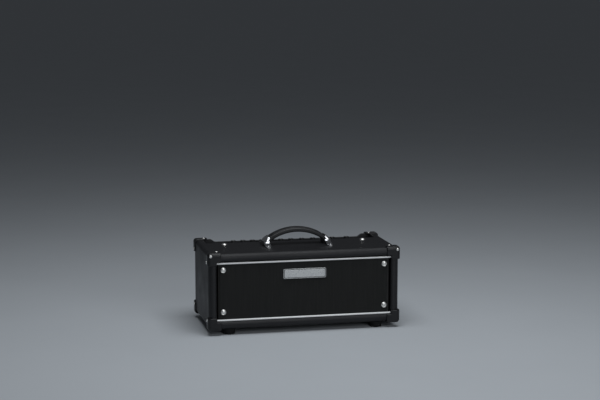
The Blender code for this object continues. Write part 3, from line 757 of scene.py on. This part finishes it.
def build_handle():
    """The arched strap with a raised grip pad, its two chrome brackets and their screws."""
    low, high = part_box("handle_strap")
    centre_z, inner_radius, block, shoulder = 0.115, 0.113, 0.065, 0.085
    outer_radius, middle_y = high.z - centre_z, (low.y + high.y) / 2
    outer_end = math.degrees(math.asin(shoulder / outer_radius))
    inner_end = math.degrees(math.asin(block / inner_radius))
    outline = [(low.x, low.z)] + arc((0, centre_z), outer_radius, 90 + outer_end, 90 - outer_end, 60)
    outline += [(high.x, low.z), (block, low.z)]
    outline += arc((0, centre_z), inner_radius, 90 - inner_end, 90 + inner_end, 48) + [(-block, low.z)]
    bm = extruded(outline, "XZ", low.y, high.y)
    round_edges(bm, 0.0034, 6, lambda a, b: abs(a.y - b.y) < 0.0001 and max(a.z, b.z) > low.z + 0.0003)
    show("handle_strap_moulding", bm, HANDLE_PLASTIC, stands_for=("handle_strap",), sharp=50)

    pad_half, pad_rise, pad_end, steps, fade = 0.0095, 0.0010, 31.0, 56, 4
    across = [(-1, -0.4), (-1, 0.3), (-0.92, 0.85), (-0.8, 1), (-0.4, 1.15), (0, 1.2)]
    across += [(-y, rise) for y, rise in reversed(across[:-1])]
    bm = bmesh.new()
    loops = []
    for step in range(steps + 1):
        angle = math.radians(90 + pad_end - 2 * pad_end * step / steps)
        inward = min(step, steps - step, fade) / fade
        swell = math.sqrt(1 - (1 - inward) ** 2)
        loop = []
        for y, rise in across:
            radius = outer_radius + pad_rise * (rise if rise < 0 else rise * max(swell, 0.05))
            side = middle_y + pad_half * y * (0.6 + 0.4 * swell)
            loop.append(bm.verts.new((radius * math.cos(angle), side, centre_z + radius * math.sin(angle))))
        loops.append(loop)
    bridge(bm, loops)
    bm.faces.new(loops[0])
    bm.faces.new(loops[-1][::-1])
    bmesh.ops.recalc_face_normals(bm, faces=bm.faces)
    show("handle_grip_pad", bm, HANDLE_PLASTIC, sharp=60)

    for name, side in (("handle_bracket_left", -1), ("handle_bracket_right", 1)):
        build_bracket(name, side, low, high, centre_z, outer_radius)


def build_bracket(name, side, strap_low, strap_high, centre_z, outer_radius):
    """A bent chrome strip over the strap's end, with a long foot before and behind, and a screw in each."""
    low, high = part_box(name)
    middle_y, foot_end = (low.y + high.y) / 2, (high.y - low.y) / 2
    inner_x, outer_x = min(abs(low.x), abs(high.x)), max(abs(low.x), abs(high.x))
    beside, thick, dome, floor = (strap_high.y - strap_low.y) / 2 + 0.0006, 0.0015, 0.0010, TOP + 0.0003
    steps = 12
    bm = bmesh.new()
    loops = []
    for step in range(steps + 1):
        share = step / steps
        x = inner_x + (outer_x - inner_x) * share
        top = centre_z + math.sqrt(outer_radius**2 - x**2) + 0.0006
        waist = floor + 0.45 * (top - floor)
        slope_start = 0.0375
        slope = (waist - floor) / (slope_start - beside - 0.0016)
        narrow = 0.0025 * (abs(2 * share - 1) ** 4)
        under = [(foot_end - narrow, floor), (slope_start + 0.0012, floor)]
        under += [(slope_start - 0.0002, floor + 0.0002)]
        under += [(slope_start - 0.0012, floor + 0.0012 * slope), (beside + 0.0028, waist - 0.0012 * slope)]
        under += [(beside + 0.0014, waist), (beside + 0.0005, waist + 0.0012)]
        under += [(beside, top - 0.0032), (beside - 0.0007, top - 0.0014), (beside - 0.0018, top - 0.0004)]
        under += [(beside - 0.0034, top)]
        under += [(-y, z) for y, z in reversed(under)]
        over = []
        for index, (y, z) in enumerate(under):
            ahead, behind = under[min(index + 1, len(under) - 1)], under[max(index - 1, 0)]
            along = (Vector(ahead) - Vector(behind)).normalized()
            out = thick + dome * (1 - (2 * share - 1) ** 2)
            over.append((y + along.y * out, z - along.x * out))
        ring = under + over[::-1]
        loops.append([bm.verts.new((side * x, middle_y + y, z)) for y, z in ring])
    bridge(bm, loops)
    bm.faces.new(loops[0])
    bm.faces.new(loops[-1][::-1])
    bmesh.ops.recalc_face_normals(bm, faces=bm.faces)
    show(f"{name}_strip", bm, CHROME, stands_for=(name,), sharp=50)
    for end, y in (("front", -1), ("rear", 1)):
        level = floor + thick + dome - 0.0003
        place = (side * (inner_x + outer_x) / 2, middle_y + y * (foot_end - 0.0045), level)
        show(f"{name}_screw_{end}", PANEL_HEAD, CHROME, matrix=facing(place, (0, 0, 1), 0.6))


def build_feet():
    for node in [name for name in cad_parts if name.startswith("foot_")]:
        low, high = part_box(node)
        radius, height = (high.x - low.x) / 2, high.z
        profile = [(0, height), (radius - 0.0006, height), (radius, height - 0.0006), (radius, 0.0095)]
        profile += [(radius - 0.0006, 0.0070), (radius - 0.0013, 0.0016)]
        profile += arc((radius - 0.0027, 0.0014), 0.0014, 0, -90, 5) + [(0.0056, 0.0)]
        profile += [(0.0050, 0.0006), (0.0050, 0.0050), (0, 0.0050)]
        centre = Matrix.Translation(((low.x + high.x) / 2, (low.y + high.y) / 2, 0))
        show(f"{node}_pad", lathe(profile, 56), RUBBER, stands_for=(node,), matrix=centre)
        place = ((low.x + high.x) / 2, (low.y + high.y) / 2, 0.0046)
        show(f"{node}_screw", SMALL_HEAD, ZINC, matrix=facing(place, (0, 0, -1), 0.3))


# ---------------------------------------------------------------- controls


def build_knobs():
    """Fluted knobs with a white pointer that runs over the top and down the skirt."""

    def flutes(index, angle):
        return 1.0 - (0.035 * (0.5 - 0.5 * math.cos(18 * angle)) if index in (4, 5, 6) else 0.0)

    for node in KNOBS:
        low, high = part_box(node)
        height = high.z - PANEL_TOP
        profile = [(0, height - 0.0004), (0.0046, height - 0.0004), (0.0050, height), (0.0060, height)]
        profile += [(0.0066, height - 0.0008), (0.0069, height - 0.0060), (0.0072, 0.0044), (0.0073, 0.0036)]
        profile += [(0.0079, 0.0027), (0.0080, 0.0020), (0.0080, 0.0006), (0.0076, 0.0005), (0, 0.0005)]
        centre = Matrix.Translation(((low.x + high.x) / 2, (low.y + high.y) / 2, PANEL_TOP))
        show(f"{node}_cap", lathe(profile, 72, flutes), KNOB_PLASTIC, node, (node,), centre)
        bm = bmesh.new()
        add_box(bm, (-0.0005, 0.0008, height - 0.0002), (0.0005, 0.0063, height + 0.00012))
        add_box(bm, (-0.0005, 0.0060, 0.0046), (0.0005, 0.0074, height - 0.0006))
        show(f"{node}_pointer", bm, PRINT, node, (), centre)


def build_panel_print():
    """Dial ticks round each knob and plain lines that group the controls."""
    bm = bmesh.new()
    level = PANEL_TOP + 0.00008
    for node in KNOBS:
        centre = middle(node)
        for tick in range(11):
            angle = math.radians(-150 + 30 * tick)
            tip = 0.0116 if tick % 5 else 0.0124
            corners = add_box(bm, (-0.0002, 0.0098, -0.00005), (0.0002, tip, 0.00005))
            bmesh.ops.rotate(bm, verts=corners, cent=(0, 0, 0), matrix=Matrix.Rotation(angle, 3, "Z"))
            bmesh.ops.translate(bm, verts=corners, vec=(centre.x, centre.y, level))
    line = 0.0003
    y = middle(KNOBS[0]).y + 0.0165
    for start, end in ((-0.153, -0.009), (-0.008, 0.073), (0.074, 0.124), (0.131, 0.165)):
        add_box(bm, (start, y - line / 2, level - 0.00005), (end, y + line / 2, level + 0.00005))
    show("panel_print", bm, PRINT)


def build_buttons():
    """Push buttons with indicator lenses beside them, and the power rocker in its frame."""
    for node in [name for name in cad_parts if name.startswith("button_")]:
        low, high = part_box(node)
        bm = soft_box(
            low, high, 0.0009, 4, lambda a, b: min(a.z, b.z) > high.z - 0.0001 or abs(a.z - b.z) > 0.003
        )
        show(f"{node}_cap", bm, KNOB_PLASTIC, node, (node,))
        lens = lathe([(0, 0.0010), (0.0006, 0.0009), (0.0010, 0.0005), (0.0011, 0.0), (0, -0.0006)], 24)
        spot = Matrix.Translation(((low.x + high.x) / 2, high.y + 0.0030, PANEL_TOP))
        show(f"{node}_lens", lens, RED_LENS, matrix=spot)

    low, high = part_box("power_rocker")
    middle_x, middle_y = (low.x + high.x) / 2, (low.y + high.y) / 2
    outer_frame = soft_box(
        (middle_x - 0.0085, middle_y - 0.0130, PANEL_TOP + 0.0001),
        (middle_x + 0.0085, middle_y + 0.0130, PANEL_TOP + 0.0018), 0.0010, 3,
    )
    hole = soft_box(
        (middle_x - 0.0064, middle_y - 0.0106, PANEL_TOP - 0.01),
        (middle_x + 0.0064, middle_y + 0.0106, PANEL_TOP + 0.01), 0.0003, 1,
    )
    show("power_rocker_frame", carved(outer_frame, [hole]), KNOB_PLASTIC)
    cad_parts["power_rocker"].data.materials.clear()
    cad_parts["power_rocker"].data.materials.append(KNOB_PLASTIC)
    lens = lathe([(0, 0.0012), (0.0009, 0.0010), (0.0015, 0.0005), (0.0016, 0.0), (0, -0.0006)], 28)
    spot = Matrix.Translation((0.171, middle_y, PANEL_TOP))
    show("power_lens", lens, GREEN_LENS, matrix=spot)


def build_jacks():
    """Quarter-inch sockets: a hexagon nut on a washer, and a dark bore."""
    for node in ("input_jack", "jack_foot_switch", "jack_line_out", "jack_speaker_out"):
        centre = middle(node)
        if node == "input_jack":
            matrix = Matrix.Translation((centre.x, centre.y, PANEL_TOP))
        else:
            matrix = Matrix.Translation((centre.x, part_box("rear_panel")[1].y, centre.z)) @ TO_REAR
        nut = lathe([(0.0076, 0.0003), (0.0076, 0.0008), (0.0066, 0.0010), (0.0066, 0.0003)], 48, closed=True)
        show(f"{node}_washer", nut, ZINC, matrix=matrix)
        hexagon = [(0.0070 * math.cos(TAU * k / 6), 0.0070 * math.sin(TAU * k / 6)) for k in range(6)]
        body = extruded(hexagon, "XY", 0.0010, 0.0032)
        round_edges(body, 0.0004, 2)
        bore = bmesh.new()
        bmesh.ops.create_cone(bore, cap_ends=True, segments=48, radius1=0.0049, radius2=0.0049, depth=0.02)
        show(f"{node}_nut", carved(body, [bore]), CHROME, matrix=matrix)
        sleeve = [(0.0034, 0.0036), (0.0046, 0.0036), (0.0049, 0.0032), (0.0049, -0.0018), (0.0034, -0.0018)]
        show(f"{node}_bushing", lathe(sleeve, 40, closed=True), ZINC, matrix=matrix)
        barrel = [(0, -0.0200), (0.0034, -0.0200), (0.0034, -0.0020), (0.0082, -0.0020), (0.0084, -0.0022)]
        barrel += [(0.0084, -0.0216), (0.0082, -0.0219), (0, -0.0219)]
        shape = lathe(barrel, 40)
        show(f"{node}_barrel", shape, KNOB_PLASTIC, stands_for=(node,), matrix=matrix)


def build_inlet():
    """The mains inlet: flange with two screws, a chamfered pocket and three blades."""
    low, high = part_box("ac_inlet")
    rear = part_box("rear_panel")[1].y
    x, z = (low.x + high.x) / 2, (low.z + high.z) / 2

    def slab(half_x, half_z, start, end, radius):
        return soft_box((x - half_x, start, z - half_z), (x + half_x, end, z + half_z), radius, 5,
                        lambda a, b: abs(a.y - b.y) > 0.0005)

    flange = slab(0.0240, 0.0114, rear + 0.0003, high.y, 0.0050)
    body = slab(0.0136, 0.0096, low.y, rear + 0.0010, 0.0010)
    w, h, cut = 0.0120, 0.0080, 0.0040
    outline = [(x - w, z - h), (x + w, z - h), (x + w, z + h - cut), (x + w - cut, z + h)]
    outline += [(x - w + cut, z + h), (x - w, z + h - cut)]
    pocket = extruded(outline, "XZ", rear - 0.0160, rear + 0.01)
    solid = carved(carved(flange, [body], "UNION"), [pocket])
    show("ac_inlet_housing", solid, KNOB_PLASTIC, stands_for=("ac_inlet",))
    for index, (dx, dz) in enumerate(((-0.0070, 0.0012), (0.0, -0.0028), (0.0070, 0.0012))):
        blade = soft_box((x + dx - 0.0010, rear - 0.0165, z + dz - 0.0022),
                         (x + dx + 0.0010, rear - 0.0035, z + dz + 0.0022), 0.0004, 2)
        show(f"ac_inlet_blade_{index + 1}", blade, ZINC)
    for end, dx in (("left", -0.0190), ("right", 0.0190)):
        matrix = facing((x + dx, high.y - 0.0002, z), (0, 1, 0), 0.4)
        show(f"ac_inlet_screw_{end}", PANEL_HEAD, ZINC, matrix=matrix)


def build_rear_screws():
    """Screws along the control panel, rear panel and rear cover, and the two through the top board."""
    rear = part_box("rear_panel")[1].y
    rear_places, panel_end, panel_rows = (-0.200, -0.068, 0.068, 0.200), 0.2055, (0.050, 0.088)
    rear_rows = (("rear_panel_screw", 0.1005), ("rear_cover_screw", 0.0400), ("rear_cover_upper_screw", 0.0865))
    for name, level in rear_rows:
        for index, x in enumerate(rear_places):
            matrix = facing((x, rear, level), (0, 1, 0), 0.3 + index)
            show(f"{name}_{index + 1}", PANEL_HEAD, ZINC, matrix=matrix)
    for index, x in enumerate((-panel_end, panel_end)):
        for row, y in enumerate(panel_rows):
            matrix = facing((x, y, PANEL_TOP), (0, 0, 1), 0.7 + index + row)
            name = f"control_panel_screw_{index + 1}_{row + 1}"
            show(name, PANEL_HEAD, ZINC, matrix=matrix)
    top_screw_x, top_screw_y = 0.1735, 0.013
    for name, side in (("top_screw_left", -1), ("top_screw_right", 1)):
        cup_screw(name, (side * top_screw_x, top_screw_y, TOP), (0, 0, 1), 0.9 * side)


def finish_kept_nodes():
    """Materials for the CAD nodes that show as they are."""
    kept = {
        "front_baffle": BOARD_PAINT,
        "control_panel": POWDER,
        "rear_panel": POWDER,
        "rear_cover": POWDER,
        "speaker_frame": POWDER,
        "chassis_floor": ZINC,
        "mains_transformer": ZINC,
        "power_amp_heat_sink": ZINC,
        "control_board": GREEN_BOARD,
        "speaker_cone": CONE,
    }
    for node, material in kept.items():
        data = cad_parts[node].data
        data.materials.clear()
        data.materials.append(material)


# ---------------------------------------------------------------- stage


def build_stage():
    """A plain pale floor, soft studio light and the camera."""
    bm = bmesh.new()
    bmesh.ops.create_grid(bm, x_segments=1, y_segments=1, size=60)
    mesh = bpy.data.meshes.new("floor")
    bm.to_mesh(mesh)
    bm.free()
    floor_paint = Finish("floor_paint", roughness=0.75)
    floor_paint.colour_between(floor_paint.noise(3.0, 4.0), (0.53, 0.56, 0.59), (0.57, 0.60, 0.63))
    mesh.materials.append(floor_paint.material)
    floor = bpy.data.objects.new("floor", mesh)
    bpy.context.scene.collection.objects.link(floor)

    world = bpy.data.worlds.new("studio")
    bpy.context.scene.world = world
    world.use_nodes = True
    world.node_tree.nodes["Background"].inputs[0].default_value = (0.050, 0.053, 0.057, 1)

    target, light_colour = Vector((0, 0, 0.1)), (0.93, 0.965, 1.0)
    lights = (
        ("key", (0.0, -0.50, 1.95), (1.6, 1.2), 21.5),
        ("front", (0.7, -2.9, 1.2), (1.8, 1.4), 20.0),
    )
    for name, place, size, power in lights:
        data = bpy.data.lights.new(name, "AREA")
        data.shape = "RECTANGLE"
        data.size, data.size_y = size
        data.energy = power
        light = bpy.data.objects.new(name, data)
        light.location = place
        data.color = light_colour
        light.rotation_euler = (target - Vector(place)).to_track_quat("-Z", "Y").to_euler()
        bpy.context.scene.collection.objects.link(light)

    # lens, place and aim were fitted to the outline of the object in the photo
    data = bpy.data.cameras.new("camera")
    data.sensor_width = 36
    data.lens = 92.77
    data.shift_y = -0.0008
    data.clip_start, data.clip_end = 0.05, 200
    camera = bpy.data.objects.new("camera", data)
    camera.location = (-0.79667, -3.64536, 0.85111)
    forward = Vector((0.21432772, 0.96594714, -0.14494741))
    camera.rotation_euler = forward.to_track_quat("-Z", "Y").to_euler()
    bpy.context.scene.collection.objects.link(camera)
    bpy.context.scene.camera = camera
    bpy.context.scene.view_settings.view_transform = "Standard"


build_cabinet()
build_rear_rail()
build_grille()
build_name_plate()
for corner_node in [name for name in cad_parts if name.startswith("corner_")]:
    build_protector(corner_node)
build_handle()
build_feet()
build_knobs()
build_panel_print()
build_buttons()
build_jacks()
build_inlet()
build_rear_screws()
finish_kept_nodes()
build_stage()
